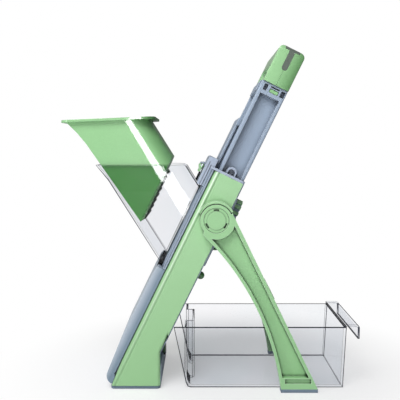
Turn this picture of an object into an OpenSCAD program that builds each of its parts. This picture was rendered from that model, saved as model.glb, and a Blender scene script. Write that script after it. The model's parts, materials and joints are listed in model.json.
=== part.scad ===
// Stand-up mandoline slicer with a spring-return carriage, a clear food chute and a catch tray.
// Origin: middle of the base foot's underside. +X runs from the chute to the tray, +Z is up.
// Parts of the leaning body are drawn upright and leaned over by on_slope(): there x is the
// distance behind the slope axis and z the distance up the slope.

/* [Body] */
// Lean of the body from vertical, in degrees
lean = 26; // [24:0.5:28]
// Width across the two side panels
body_w = 114; // [106:1:130]
// Length of the side panels up the slope
panel_len = 254.5; // [250:0.5:262]
// Reach of the panels ahead of the slope axis
panel_front = 28; // [26:0.5:30]
// Reach of the panels behind the slope axis
panel_rear = 6.4; // [6:0.2:8]
// Thickness of a side panel
panel_t = 4; // [3.8:0.1:5]
// Radius of the panels' long outer edges at the rear
panel_edge_r = 3.5; // [1.5:0.1:3.6]
// Width of the round along the panels' front edge
facet_w = 6.5; // [4:0.5:9]

/* [Base] */
// Length of the base foot along X
foot_len = 54.4; // [50:0.5:60]
// Thickness of the rubber base foot
foot_t = 3.4; // [2.5:0.1:5]
// Wall of the hollow base block
base_wall = 3; // [2:0.5:5]

/* [Frame] */
// Thickness of the front plate that carries the throat
frame_t = 4; // [3:0.2:5]
// Thickness of the two rear guide strips
strip_t = 1.2; // [1:0.1:2]
// Distance of the throat's lower edge below the panels' top
throat_drop = 111.5; // [108.5:0.5:112.5]
// Width of the body beside the throat, on each side
throat_side = 18.5; // [18:0.5:21]
// Height of the collar band on top of the panels
band_h = 2.6; // [2:0.2:5]
// Length of the collar's front block
block_len = 32.5; // [30:0.5:36]
// Depth of the collar's front block ahead of the front plate
block_reach = 6; // [5:0.5:8]
// Depth of the bulging front cover ahead of the front plate
cover_reach = 6; // [5:0.5:9]
// Wall of the thin covers
cover_wall = 2.4; // [1.8:0.2:3]

/* [Carriage] */
// Travel of the carriage down the slope
stroke = 83; // [78:0.5:84]
// Length of a rail
rail_len = 223; // [215:1:224]
// Depth of a rail, across the body
rail_depth = 10.6; // [9.6:0.2:11]
// Width of a rail's front wall
rail_front_w = 4; // [3.4:0.2:6]
// Width of a rail's rear wall
rail_rear_w = 4; // [3:0.2:6]
// Thickness of a rail's web
rail_web = 2.4; // [2:0.2:3]
// Height of the window block at the top of a rail
rail_cap_h = 13; // [12:0.5:16]

/* [Handle] */
// Height of the handle above the rails
handle_h = 43; // [38:1:50]
// Depth of the handle
handle_d = 29.4; // [25.4:1:31.4]
// Thickness of the grip bar
grip_t = 22; // [19:1:24]
// Thickness of the handle's two arms
arm_t = 13; // [11:1:16]
// Radius of the handle's outer corners
handle_r = 6.5; // [4:0.5:8]

/* [Blade] */
// Thickness of the main blade
blade_t = 1; // [0.8:0.1:1.2]
// Height of the main blade up the slope
blade_h = 15; // [12:1:18]
// Slant of the cutting edge across the throat, in degrees
blade_slant = 3; // [0:0.5:3]
// Slice thickness that the dial is set to
slice_t = 4; // [3:0.5:5]
// Spacing of the strip blades
strip_pitch = 7; // [5:0.5:10]

/* [Dial] */
// Radius of the thickness dial over its grips
dial_r = 19; // [16:0.5:20]
// Distance of the thickness dial below the panels' top
dial_drop = 38.5; // [35.5:0.5:40.5]
// Radius of the cut-style knob
knob_r = 11; // [8:0.5:12]
// Number of grips on the thickness dial
grip_count = 14; // [10:1:18]

/* [Chute] */
// Lean of the chute's front wall from vertical, in degrees
chute_lean = 32; // [31:0.5:34]
// Gap up the slope between the chute's rear wall and the collar's block
chute_gap = 3.8; // [2.5:0.1:6]
// Distance of the chute's side walls inside the body's sides
chute_inset = 14; // [12:0.5:15]
// Wall of the chute
chute_wall = 1.8; // [1.4:0.1:2.2]
// Height of the chute's rim above its rear wall's lower end
rim_up = 24.8; // [20:0.8:28]

/* [Pusher] */
// Height of the pusher's flange above the chute's rim
flange_up = 47; // [40:1:54]
// Travel of the pusher into the chute
push_travel = 44; // [30:1:46]
// Wall of the pusher cup
pusher_wall = 2.2; // [1.6:0.1:3]
// Depth of the teeth under the pusher
tooth_h = 3.6; // [2.5:0.1:4]
// Number of tooth rows under the pusher
tooth_rows = 8; // [6:1:10]

/* [Stand] */
// Distance of the pivot below the panels' top
pivot_drop = 46.9; // [42.4:0.5:50.4]
// Radius of the leg's pivot head
disc_r = 16.9; // [15.5:0.1:18]
// Thickness of a leg
leg_t = 9.9; // [9:0.1:12]
// Distance from the base foot's middle to the front of the leg's foot
leg_foot_x = 158.8; // [154:0.5:164]
// Length of the leg's foot
leg_foot_len = 40; // [34:1:44]
// Width of the cross bar between the legs
cross_bar_w = 16; // [12:1:18]
// Width of the raised rim round the leg's web
leg_rim = 3.3; // [2.4:0.1:4]

/* [Tray] */
// Height of the tray's rim
tray_h = 68; // [60:0.5:70]
// Distance of the tray's side walls inside the body's sides
tray_inset = 5; // [2:0.5:9]
// Wall of the tray
tray_wall = 2.2; // [1.6:0.1:3]
// Length of the tray's floor
tray_floor = 173; // [150:1:180]

/* [Fits] */
// Gap between pieces that slide past each other
slide_gap = 0.4; // [0.3:0.05:0.5]
// Radial gap of a pin or shaft in its bore
run_gap = 0.05; // [0.03:0.01:0.1]

/* [Hidden] */
$fn = 96;

green = [0.64, 0.82, 0.61];
dark_green = [0.20, 0.38, 0.18];
slate = [0.58, 0.64, 0.71];
light_grey = [0.72, 0.76, 0.82];
steel = [0.78, 0.79, 0.80];
rubber = [0.42, 0.46, 0.50];
clear = [0.90, 0.92, 0.94, 0.35];

half_w = body_w / 2;
crease = 0.01;
facet_h = 3.6;
facet_r = (facet_w * facet_w + facet_h * facet_h) / (2 * facet_h);
skin_y = half_w - panel_t;
foot_half = foot_len / 2;
throat_w = body_w - 2 * throat_side;
throat_low = panel_len - throat_drop;
dial_z = panel_len - dial_drop;
pivot_z = panel_len - pivot_drop;

// Rails and the frame round them
rail_y1 = skin_y - slide_gap;
rail_y0 = rail_y1 - rail_depth;
rail_x0 = 3.8 - panel_front;
rail_x1 = panel_rear - slide_gap;
tongue_w = 11;
tongue_top = panel_len + 6 + tongue_w / 2;
rail_top = tongue_top + stroke + rail_cap_h + 1.1;
rail_low = rail_top - rail_len;
throat_len = stroke + 1;
throat_top = throat_low + throat_len;
frame_x1 = -panel_front - 2 * slide_gap;
frame_x0 = frame_x1 - frame_t;
frame_low = 6;
flange_y = half_w - 1;
base_top = 34;
rear_low = base_top;
rear_bar_h = 13;
strip_x1 = panel_rear + strip_t;
strip_y0 = rail_y0 + 0.6;
block_x0 = frame_x0 - block_reach;
block_low = panel_len - 21;
block_top = block_low + block_len;
block_y = half_w - 2;
latch_x = block_x0 - 3;
latch_z = panel_len - 2;
latch_y = 15;
latch_pin_r = 1.2;
ear_y = latch_y - 6;
ear_t = 2.9;
slot_r = 4.9;
lock_z = throat_low + 1;
cover_x0 = frame_x0 - cover_reach;
cover_y = half_w - 1.5;
cover_top = throat_low - 9.5;
nose_r = 10.4;

// Carriage inside the rails
cheek_y0 = throat_w / 2 + 0.1;
carrier_low = throat_low + 11;
carrier_x1 = strip_x1 + 2.4;
carrier_x0 = carrier_x1 - 2.6;
plate_x0 = frame_x1 + slide_gap;
plate_t = 2.4;
blade_z = throat_top + 0.5;
plate_low = blade_z + 4;
plate_top = throat_top + stroke + 7;
ramp_x0 = plate_x0 + slice_t;
ramp_t = 2.6;
ramp_y = cheek_y0 - slide_gap;
ramp_top = blade_z - 5;
ramp_low = throat_low + 1;
shaft_r = 5;
boss_r = 8;
knob_z = dial_z - dial_r - knob_r - 7;
dial_x0 = carrier_x1 + 0.4;
dial_t = 9;
strip_h = 4;
strip_z = dial_z - boss_r - 6 - strip_h;
strip_bar_t = 3.5;
strip_travel = 4.4;
ramp_forward = 3.2;
ramp_back = 4;
ramp_boss_x1 = carrier_x0 - ramp_back - 0.6 - slice_t;
strip_x0 = ramp_x0 + ramp_t + strip_travel + 0.5;
knob_shaft_r = 3;
strip_y = ramp_y - 3;
strip_count = floor(2 * (strip_y - 2) / strip_pitch) + 1;
strip_reach = ramp_x0 + 0.6 - ramp_forward - strip_travel;

// Handle
handle_x1 = rail_x1;
handle_x0 = handle_x1 - handle_d;
handle_mid = (handle_x0 + handle_x1) / 2;
handle_y = half_w - 2;
handle_top = rail_top + handle_h;
inlay_w = 16.5;
inlay_t = 3.6;
stem_w = 6.4;
stem_t = 1.4;
stem_len = 22;

// Springs
spring_x = rail_x0 + rail_front_w + 10;
spring_y = rail_y1 - (rail_depth - rail_web) / 2;
spring_r = 3.5;
spring_wire = 1.6;
spring_ring = spring_r - spring_wire / 2;
hook_wire = 1.2;
hook_in = spring_ring - hook_wire / 2;
spring_high = panel_len - 1.5;
spring_coils = 42;
spring_low = rail_low + 14;
spring_pitch = (spring_high - spring_low) / spring_coils;
hook_low = spring_low - spring_ring;
hook_high = spring_high + spring_ring;
peg_r = 1.2;
peg_low = hook_low - hook_in + peg_r + run_gap;
peg_high = hook_high + hook_in - peg_r + 0.02;

// Chute, pusher and their common slope
bar_x = frame_x0 - 2.6;
bar_z = cover_top - 4;
bar_r = 2;
chute_w = body_w - 2 * chute_inset;
bar_y = chute_w / 2 - 5;
chute_back = frame_x0 - 0.8;
chute_p0 = in_p(slope_xz(bar_x + 2, bar_z + 5.4));
chute_p1 = in_p(slope_xz(chute_back, block_low - chute_gap));
rim_z = meet(chute_p1, chute_back)[1] + rim_up;
flange_z = rim_z + flange_up;
flange_len = chute_p1 - chute_p0 + 22.7;
flange_turn = 2.4;
flange_lift = 1.4;
flange_x0 = at_z(chute_p1 - chute_wall - 3, flange_z)[0] + 2 - flange_len;
flange_t = 2.6;
flare_drop = 17;
flare = 2.6;
pusher_gap = 0.8;
slide_lean = chute_lean + 2.5;
pusher_y = chute_w / 2 - chute_wall - pusher_gap;
pusher_back = frame_x0 - push_travel * sin(slide_lean + lean) - tooth_h - 0.6;
pusher_p1 = chute_p1 - chute_wall - 6;
corner_r = 21;

// Stand
pivot = slope_xz(-2.9, pivot_z);
leg_y0 = half_w + 0.6;
leg_y1 = leg_y0 + leg_t;
leg_pad_t = 3.8;
leg_r = 293.7;
neck = pivot + [-3.6, -26.2] * disc_r / 16.9;
leg_toe = [leg_foot_x, leg_pad_t];
leg_heel = [leg_foot_x + leg_foot_len, leg_pad_t];
leg_centre = arc_centre(neck, leg_toe, leg_r);
shoulder = pivot + [17.2, 7.4] * disc_r / 16.9;
axle_r = 6;
cap_r = 13.2;
cap_t = 3.2;
cross_bar_t = 4;
cross_share = 0.4913;
cross_depth = 9;
cross_a = (1 - cross_share) * angle_of(neck - leg_centre) + cross_share * angle_of(leg_toe - leg_centre);
cross_at = leg_centre + (leg_r + cross_depth) * [cos(cross_a), sin(cross_a)];
cross_turn = 88.4 - cross_a;
arch_y = 24;
arch_h = 11;

// Tray
tray_lean = 0.21;
tray_gap = 0.47;
tray_x0 = tray_h * (tan(lean) + tray_lean) + strip_x1 / cos(lean) + tray_gap;
tray_y = half_w - tray_inset;
tray_w = 2 * tray_y;
tray_x1 = tray_x0 + tray_floor;
notch_1 = 12;
notch_2 = 20;

function angle_of(v) = atan2(v[1], v[0]);
function in_p(q) = q[0] * cos(chute_lean) + q[1] * sin(chute_lean);
function slope_xz(x, z) = [z * sin(lean) + x * cos(lean), z * cos(lean) - x * sin(lean)];
// Meeting point of the chute's line p and the body's line x = n
function meet(p, n) = [
    (p * sin(lean) + n * sin(chute_lean)) / sin(lean + chute_lean),
    (p * cos(lean) - n * cos(chute_lean)) / sin(lean + chute_lean)
];
// Point of the chute's line p at the height z
function at_z(p, z) = [(p - z * sin(chute_lean)) / cos(chute_lean), z];
function arc(c, r, a0, a1, n = 10) = [
    for (i = [0:n]) c + r * [cos(a0 + (a1 - a0) * i / n), sin(a0 + (a1 - a0) * i / n)]
];
// Centre of the circle of radius r through a and b that lies on the left of the way down
function arc_centre(a, b, r) =
    let (m = (a + b) / 2, d = b - a, l = norm(d), h = sqrt(r * r - l * l / 4))
    m + h * [d[1], -d[0]] / l;

// ---------- helpers ----------
module on_slope() { rotate([0, lean, 0]) children(); }
module in_chute() { rotate([0, -chute_lean, 0]) children(); }
// Outline in X and Z, extruded along Y from y0 to y1
module along_y(y0, y1) {
    translate([0, y1, 0]) rotate([90, 0, 0]) linear_extrude(y1 - y0) children();
}
// Outline in Y and Z, extruded along X from x0 to x1
module along_x(x0, x1) {
    translate([x0, 0, 0]) rotate([90, 0, 90]) linear_extrude(x1 - x0) children();
}
module rod_x(x0, x1, r) {
    translate([x0, 0, 0]) rotate([0, 90, 0]) cylinder(h = x1 - x0, r = r);
}
module rod_y(y0, y1, r) {
    translate([0, y1, 0]) rotate([90, 0, 0]) cylinder(h = y1 - y0, r = r);
}
module right_hand() { mirror([0, 1, 0]) children(); }
// Rectangle from (x0, y0) to (x1, y1) with round corners
module soft_rect(x0, y0, x1, y1, r) {
    translate([x0 + r, y0]) square([x1 - x0 - 2 * r, y1 - y0]);
    translate([x0, y0 + r]) square([x1 - x0, y1 - y0 - 2 * r]);
    for (x = [x0 + r, x1 - r], y = [y0 + r, y1 - r]) translate([x, y]) circle(r);
}

// ---------- body ----------
panel_kink = slope_xz(panel_rear, (foot_half - panel_rear * cos(lean)) / sin(lean));

module panel_outline() {
    polygon([
        [-foot_half + 0.6, foot_t],
        slope_xz(-panel_front, 30),
        slope_xz(-panel_front, panel_len),
        slope_xz(panel_rear, panel_len),
        panel_kink,
        [foot_half, foot_t]
    ]);
}

// Waste outside the round of an outer edge, for a corner at the origin and material towards -X
module edge_waste() {
    r = panel_edge_r;
    translate([-r, -r]) difference() {
        square(r + 1);
        circle(r + crease);
    }
}

// Waste outside the wide round of the front edge, for a corner at the origin and material towards +X
module facet_waste() {
    translate([facet_w, -facet_r]) difference() {
        translate([-facet_w - 1, facet_r - facet_h - 1]) square([facet_w + 1, facet_h + 2]);
        circle(facet_r + crease);
    }
}

// Half plane above (1) or below (-1) the mitre at the rear edge's kink
module mitre(side) {
    m = [-cos(lean / 2), sin(lean / 2)];
    along_y(skin_y - 1, half_w + 2) polygon([
        panel_kink - 9 * m, panel_kink + 40 * m,
        panel_kink + 40 * m + [0, 400 * side], panel_kink - 9 * m + [0, 400 * side]
    ]);
}

module side_panel() {
    color(green) {
        difference() {
            along_y(skin_y, half_w) panel_outline();
            on_slope() translate([-panel_front, half_w, -60])
                linear_extrude(panel_len + 70) facet_waste();
            intersection() {
                on_slope() translate([panel_rear, half_w, -60])
                    linear_extrude(panel_len + 70) edge_waste();
                mitre(1);
            }
            intersection() {
                translate([foot_half, half_w, -1]) linear_extrude(90) edge_waste();
                mitre(-1);
            }
            translate([pivot[0], 0, pivot[1]]) rod_y(0, half_w + 1, axle_r);
            on_slope() translate([-panel_front + 4, skin_y - 1, 60])
                cube([panel_front + panel_rear - 8, 2, 100]);
        }
        hood();
    }
}

// Raised lip over the top of the leg's head: the open stop of the leg
module hood() {
    translate([pivot[0], 0, pivot[1]]) along_y(half_w - 0.2, leg_y1 - 2) difference() {
        intersection() {
            circle(disc_r + 3.4);
            polygon([[0, 0], 40 * [cos(27), sin(27)], [40, 60], [-40, 60], 40 * [cos(157), sin(157)]]);
        }
        circle(disc_r + 0.6);
    }
}

module left_side_panel() { side_panel(); }
module right_side_panel() { right_hand() side_panel(); }

// Front plate with the throat, its side flanges and their step lines
module main_frame() {
    color(slate) on_slope() difference() {
        union() {
            translate([frame_x0, -skin_y, frame_low])
                cube([frame_t, 2 * skin_y, panel_len - frame_low]);
            for (s = [0, 1]) mirror([0, s, 0]) {
                translate([frame_x0, skin_y, cover_top + 0.4])
                    cube([-panel_front - frame_x0 - 0.2, flange_y - skin_y,
                          panel_len - cover_top - 0.4]);
            }
        }
        along_x(frame_x0 - 1, frame_x1 + 1)
            soft_rect(-throat_w / 2, throat_low, throat_w / 2, throat_top, 5);
        for (s = [0, 1]) mirror([0, s, 0]) {
            translate([frame_x0 - 1, chute_w / 2 + 0.6, cover_top])
                cube([2.4, half_w, block_low - cover_top]);
            translate([frame_x0 + 2.3, flange_y - 0.7, cover_top])
                cube([0.9, 3, panel_len - cover_top + 1]);
        }
        for (i = [0:strip_count - 1])
            translate([strip_reach - 0.3, strip_at(i) - 0.9, strip_z - stroke - 1])
                cube([frame_t, 1.8, throat_low - strip_z + stroke + 2]);
    }
}

// Two rear guide strips joined by a bar across the bottom
module rear_frame() {
    color(slate) on_slope() difference() {
        along_x(panel_rear, strip_x1) difference() {
            translate([-cover_y, rear_low]) square([2 * cover_y, panel_len - rear_low]);
            translate([-strip_y0, rear_low + rear_bar_h]) square([2 * strip_y0, panel_len]);
        }
        for (s = [-1, 1]) translate([0, s * (skin_y - 5), lock_z])
            rod_x(panel_rear - 1, strip_x1 + 1, 1.5 + run_gap);
        for (s = [0, 1]) mirror([0, s, 0]) translate([0, skin_y, rear_low - 1])
            cube([strip_x1 + 1, 10, 26]);
    }
}

module collar_ring() {
    linear_extrude(band_h) difference() {
        soft_rect(frame_x0, -half_w, strip_x1, half_w, panel_edge_r);
        translate([rail_x0 - 2 * slide_gap, -skin_y])
            square([panel_rear - rail_x0 + 2 * slide_gap, 2 * skin_y]);
        translate([frame_x1, -rail_y0 - slide_gap])
            square([panel_rear - frame_x1, 2 * rail_y0 + 2 * slide_gap]);
    }
}

module block_outline() {
    polygon([
        [block_x0, block_low], [block_x0, block_top - 2], [block_x0 + 2, block_top],
        [frame_x1, block_top], [frame_x1, panel_len], [frame_x1 - 2.6, panel_len],
        [frame_x1 - 2.6, block_top - 2.6], [block_x0 + 2.6, block_top - 2.6],
        [block_x0 + 2.6, block_low]
    ]);
}

// Tongue of the collar in a rail's recess: its pocket has a peg for the spring's upper hook
module spring_tongue() {
    y0 = rail_y0 + rail_web + slide_gap;
    half = tongue_w / 2;
    pocket = spring_r + slide_gap;
    module hump(r, z) {
        square([2 * r, z], center = false);
        translate([r, z]) circle(r);
    }
    difference() {
        along_y(y0, skin_y + 1) translate([spring_x - half, panel_len]) hump(half, 6);
        along_y(spring_y - 2, skin_y + 2)
            translate([spring_x - pocket, panel_len - 1]) hump(pocket, 6);
    }
    translate([spring_x, 0, peg_high]) rod_y(y0, spring_y + 3, peg_r);
}

// Collar on top of the panels, with the block that holds the chute's latch
module top_collar() {
    color(light_grey) on_slope() difference() {
        union() {
            translate([0, 0, panel_len]) collar_ring();
            along_y(-block_y, block_y) block_outline();
            for (s = [0, 1]) mirror([0, s, 0]) {
                along_y(block_y - 2.6, block_y) polygon([
                    [block_x0, block_low], [block_x0, block_top - 2], [block_x0 + 2, block_top],
                    [frame_x1, block_top], [frame_x1, panel_len], [frame_x0, panel_len],
                    [frame_x0, block_low]
                ]);
                spring_tongue();
                along_y(ear_y, ear_y + ear_t) polygon([
                    [block_x0 + 0.5, latch_z - 5], [block_x0 - 2, latch_z - 4],
                    [latch_x - 2.6, latch_z - 1], [latch_x - 2.6, latch_z + 2.4],
                    [block_x0 + 0.5, latch_z + 5]
                ]);
            }
        }
        for (s = [0, 1]) mirror([0, s, 0]) for (i = [0:1])
            translate([block_x0 + 2.6 + 2.6 * i, block_y - 0.8, block_low - 1])
                cube([0.9, 2, block_len - 4 - 3 * i]);
        translate([latch_x, 0, latch_z]) rod_y(-latch_y, latch_y, latch_pin_r);
    }
}

module latch_pin() {
    color(steel) on_slope() translate([latch_x, 0, latch_z])
        rod_y(-latch_y, latch_y, latch_pin_r);
}

// Thumb hook that keeps the chute's rib against the block
module chute_latch() {
    color(green) on_slope() difference() {
        along_y(-latch_y, latch_y) polygon(concat(
            arc([latch_x, latch_z], 2.3, 60, -50, 8),
            [[block_x0 - 1.6, latch_z - 7.5], [block_x0 - 4.4, latch_z - 8.5],
             [latch_x - 1.6, latch_z - 5]],
            arc([latch_x - 1.2, latch_z - 1.2], 2.2, 210, 110, 8)
        ));
        translate([latch_x, 0, latch_z]) rod_y(-latch_y - 1, latch_y + 1, latch_pin_r + run_gap);
        for (s = [0, 1]) mirror([0, s, 0]) translate([latch_x, 0, latch_z])
            rod_y(ear_y - slide_gap, ear_y + ear_t + slide_gap, slot_r);
    }
}

// Side outline of the front cover, drawn g inside its surface
module cover_outline(g) {
    top = cover_top - g;
    polygon(concat(
        [[frame_x0 + (g > 0 ? 1 : 0), top], [cover_x0 + 2 + g, top], [cover_x0 + 0.4 + g, top - 5],
         [cover_x0 + g, cover_top - 18.5], [cover_x0 + g, base_top + 10]],
        arc([cover_x0 + 13.2, 3.6], nose_r - g, 180, 262, 12),
        [[cover_x0 + 16.5, frame_low - 10 + g], [frame_x0 + 4, frame_low]],
        g > 0 ? [[frame_x0 + 1, frame_low]] : [[frame_x0, frame_low]]
    ));
}

// Bulging cover below the chute, with the trough that the chute's bar turns in
module front_cover() {
    color(light_grey) difference() {
        on_slope() difference() {
            union() {
                difference() {
                    along_y(-cover_y, cover_y) cover_outline(0);
                    along_y(-cover_y + cover_wall, cover_y - cover_wall)
                        cover_outline(cover_wall);
                }
                for (s = [0, 1]) mirror([0, s, 0])
                    translate([frame_x0 - 0.5, skin_y + 0.3, frame_low])
                        cube([-panel_front - frame_x0 + 0.2, cover_y - skin_y - 0.3,
                              cover_top - frame_low]);
                along_y(-cover_y + 1, cover_y - 1) polygon([
                    [frame_x0, cover_top - 9], [cover_x0 + 1, cover_top - 9],
                    [cover_x0 + 1.4, cover_top - 4], [cover_x0 + 3, cover_top - 0.5],
                    [frame_x0, cover_top - 0.5]
                ]);
            }
            translate([bar_x, 0, bar_z]) {
                rod_y(-bar_y - 0.5, bar_y + 0.5, bar_r + 0.3);
                translate([-bar_r - 4, -bar_y - 0.5, 0.2])
                    cube([2 * bar_r + 4.3, 2 * bar_y + 1, 10]);
                translate([0, -bar_y - 0.5, 0]) cube([4, 2 * bar_y + 1, 10]);
            }
        }
        for (s = [0, 1]) mirror([0, s, 0]) translate([-0.3, 0, 0])
            along_y(skin_y - 0.2, half_w) panel_outline();
    }
}

module base_outline(g) {
    polygon([
        [slope_xz(cover_x0 + 16.5, frame_low - 10)[0] + 0.6 + g, foot_t + (g > 0 ? -1 : 0)],
        slope_xz(frame_x1 + g, frame_low + 1),
        slope_xz(frame_x1 + g, base_top - g),
        slope_xz(panel_rear + 3 - g, base_top - g),
        [foot_half + 0.8 - g, slope_xz(panel_rear + 3, base_top - g)[1] - 1],
        [foot_half + 0.8 - g, foot_t + (g > 0 ? -1 : 0)]
    ]);
}

module base_block() {
    color(slate) difference() {
        along_y(-skin_y, skin_y) base_outline(0);
        along_y(-skin_y + base_wall, -base_wall / 2) base_outline(base_wall);
        along_y(base_wall / 2, skin_y - base_wall) base_outline(base_wall);
    }
}

module base_foot_pad() {
    color(rubber) linear_extrude(foot_t) difference() {
        soft_rect(-foot_half, -half_w + 1, foot_half, half_w - 1, 4);
        for (s = [0, 1]) mirror([s, 0]) soft_rect(4, -half_w + 12, foot_half - 9, half_w - 12, 3);
    }
}

module tray_stop() {
    color(dark_green) along_y(-10, 10)
        soft_rect(foot_half + 0.8, foot_t + 22, foot_half + 3.2, foot_t + 32, 1);
}

module tray_stop_pad() {
    color([0.1, 0.1, 0.11]) translate([foot_half + 0.8, -9, foot_t + 19]) cube([2.2, 18, 3]);
}

// ---------- stand ----------
module leg_axle() {
    color(steel) translate([pivot[0], 0, pivot[1]]) rod_y(skin_y, leg_y1 - cap_t, axle_r);
}

module pivot_cap() {
    color(green) translate([pivot[0], 0, pivot[1]]) difference() {
        union() {
            rod_y(leg_y1 - cap_t, leg_y1 - 0.6, cap_r);
            rod_y(leg_y1 - 1, leg_y1 + 0.3, cap_r - 3.4);
        }
        for (a = [90, 210, 330]) along_y(leg_y1 - 2.4, leg_y1 + 1) difference() {
            intersection() {
                circle(12.2);
                rotate(a) polygon([[0, 0], 20 * [cos(15), sin(15)], 20 * [cos(15), -sin(15)]]);
            }
            circle(10.4);
        }
    }
}

// Side outline of a leg, drawn g inside its edge
module leg_outline(g) {
    difference() {
        polygon([
            shoulder - [1.1, 0.5] * g, leg_heel - [1.14 * g, 0], leg_toe - [2, 0],
            [neck[0] - 30, 60], neck + [-9.5, 15],
            pivot + [-13.9, -9.7] * disc_r / 16.9, pivot
        ]);
        translate(leg_centre) circle(leg_r + g, $fn = 720);
    }
}

module stand_leg() {
    color(green) difference() {
        union() {
            along_y(leg_y0, leg_y1) leg_outline(0);
            translate([pivot[0], 0, pivot[1]]) rod_y(leg_y0, leg_y1, disc_r);
        }
        along_y(leg_y0 + 3, leg_y1 + 1) difference() {
            intersection() {
                leg_outline(leg_rim);
                translate([0, leg_pad_t + 12.7]) square(leg_heel[0] + pivot[1]);
            }
            translate(pivot) circle(disc_r + leg_rim);
        }
        translate([leg_foot_x + leg_rim + 1, leg_y1 - 2, leg_pad_t + 6.3])
            cube([leg_foot_len - 2 * leg_rim - 5, 4, 5]);
        translate([pivot[0], 0, pivot[1]]) {
            rod_y(leg_y0 - 1, leg_y1 + 1, axle_r + run_gap);
            rod_y(leg_y1 - cap_t - 0.3, leg_y1 + 1, cap_r + 0.3);
        }
    }
}

module leg_pad() {
    color(rubber) translate([leg_foot_x, leg_y0 + 0.3, 0])
        cube([leg_foot_len, leg_t - 0.6, leg_pad_t]);
}

// Bar between the legs, arched over the dials when the stand is folded
module leg_cross_bar() {
    y1 = leg_y0;
    color(green) translate([cross_at[0], 0, cross_at[1]]) rotate([0, cross_turn, 0]) difference() {
        along_x(-cross_bar_w / 2, cross_bar_w / 2) polygon([
            [-y1, -cross_bar_t / 2], [-arch_y - arch_h, -cross_bar_t / 2],
            [-arch_y, arch_h - cross_bar_t / 2], [arch_y, arch_h - cross_bar_t / 2],
            [arch_y + arch_h, -cross_bar_t / 2], [y1, -cross_bar_t / 2],
            [y1, cross_bar_t / 2], [arch_y + arch_h - 3, cross_bar_t / 2],
            [arch_y - 2, arch_h + cross_bar_t / 2], [-arch_y + 2, arch_h + cross_bar_t / 2],
            [-arch_y - arch_h + 3, cross_bar_t / 2], [-y1, cross_bar_t / 2]
        ]);
        translate([-cross_bar_w / 2 + leg_rim, -arch_y + 4, arch_h + cross_bar_t / 2 - 2.4])
            cube([cross_bar_w - 2 * leg_rim, 2 * arch_y - 8, 3]);
    }
}

module left_leg() { stand_leg(); }
module right_leg() { right_hand() stand_leg(); }
module left_leg_pad() { leg_pad(); }
module right_leg_pad() { right_hand() leg_pad(); }
module left_leg_axle() { leg_axle(); }
module right_leg_axle() { right_hand() leg_axle(); }
module left_pivot_cap() { pivot_cap(); }
module right_pivot_cap() { right_hand() pivot_cap(); }

// ---------- carriage ----------
module rail() {
    color(slate) on_slope() difference() {
        translate([0, 0, rail_low]) linear_extrude(rail_top - rail_low) difference() {
            union() {
                translate([rail_x0, rail_y0]) square([rail_x1 - rail_x0, rail_depth - 2]);
                translate([rail_x0 + 2, rail_y0]) square([rail_x1 - rail_x0 - 4, rail_depth]);
                for (x = [rail_x0 + 2, rail_x1 - 2]) translate([x, rail_y1 - 2]) circle(2);
            }
        }
        translate([rail_x0 + rail_front_w, rail_y0 + rail_web, rail_low - 1])
            cube([rail_x1 - rail_x0 - rail_front_w - rail_rear_w, rail_depth,
                  rail_top - rail_cap_h - rail_low + 1]);
        along_y(rail_y1 - 4, rail_y1 + 1) {
            soft_rect(rail_x0 + 11.6, rail_top - 9, rail_x0 + 21.8, rail_top - 4.6, 0.6);
            soft_rect(rail_x0 + 11.6, rail_top - 3.6, rail_x0 + 21.8, rail_top - 2.2, 0.4);
            soft_rect(rail_x0 + 4.5, rail_top - 9, rail_x0 + 8.5, rail_top - 2.2, 0.4);
            soft_rect(rail_x0 + 24, rail_top - 9, rail_x0 + 28.2, rail_top - 2.2, 0.4);
        }
    }
}

module left_rail() { rail(); }
module right_rail() { right_hand() rail(); }

module carriage_bridge() {
    color(slate) on_slope() difference() {
        translate([handle_x0 - 2, -rail_y0, rail_top - rail_cap_h + 2])
            cube([handle_d, 2 * rail_y0, rail_cap_h - 2]);
        translate([handle_x0 + 1, -rail_y0 + 3, rail_top - rail_cap_h])
            cube([handle_d - 6, 2 * rail_y0 - 6, rail_cap_h - 2.6]);
    }
}

module diagonal() {
    translate([0, 0, blade_z]) rotate([blade_slant, 0, 0]) children();
}

// Cheeks and rear plate that join the rails round the blade and carry the two dials
module blade_carrier() {
    color(slate) on_slope() difference() {
        union() {
            for (s = [0, 1]) mirror([0, s, 0])
                along_y(cheek_y0, rail_y0) polygon([
                    [plate_x0 + 0.3, carrier_low], [carrier_x1, carrier_low],
                    [carrier_x1, dial_z + dial_r], [carrier_x0 - 6, dial_z + dial_r + 9],
                    [rail_x1 - 2, plate_low + 22], [plate_x0 + 0.3, plate_low + 22]
                ]);
            translate([carrier_x0, -cheek_y0, carrier_low])
                cube([carrier_x1 - carrier_x0, 2 * cheek_y0, dial_z + dial_r - carrier_low]);
            translate([ramp_x0 + 10, -cheek_y0, carrier_low])
                cube([carrier_x1 - ramp_x0 - 10, 2 * cheek_y0, 2.6]);
            translate([0, 0, dial_z]) rod_x(carrier_x0 - 4, carrier_x1, shaft_r + 3);
        }
        translate([0, 0, dial_z]) rod_x(carrier_x0 - 6, carrier_x1 + 1, shaft_r + run_gap);
        translate([0, 0, knob_z])
            rod_x(carrier_x0 - 6, carrier_x1 + 1, knob_shaft_r + run_gap);
    }
}

// Plate above the blade: it shuts the throat while the carriage is down
module slicing_plate() {
    color(green) on_slope() difference() {
        union() {
            translate([plate_x0, -cheek_y0, plate_low - 8])
                cube([plate_t, 2 * cheek_y0, plate_top - plate_low + 8]);
            translate([plate_x0, -rail_y0, plate_top - 8])
                cube([6, 2 * rail_y0, 8]);
            for (y = [-24:12:24]) translate([plate_x0, y - 0.8, plate_low + 22])
                cube([5, 1.6, plate_top - plate_low - 24]);
        }
        diagonal() translate([plate_x0 - 1, -half_w, 2.5 - blade_h]) cube([20, body_w, blade_h]);
    }
}

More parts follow.
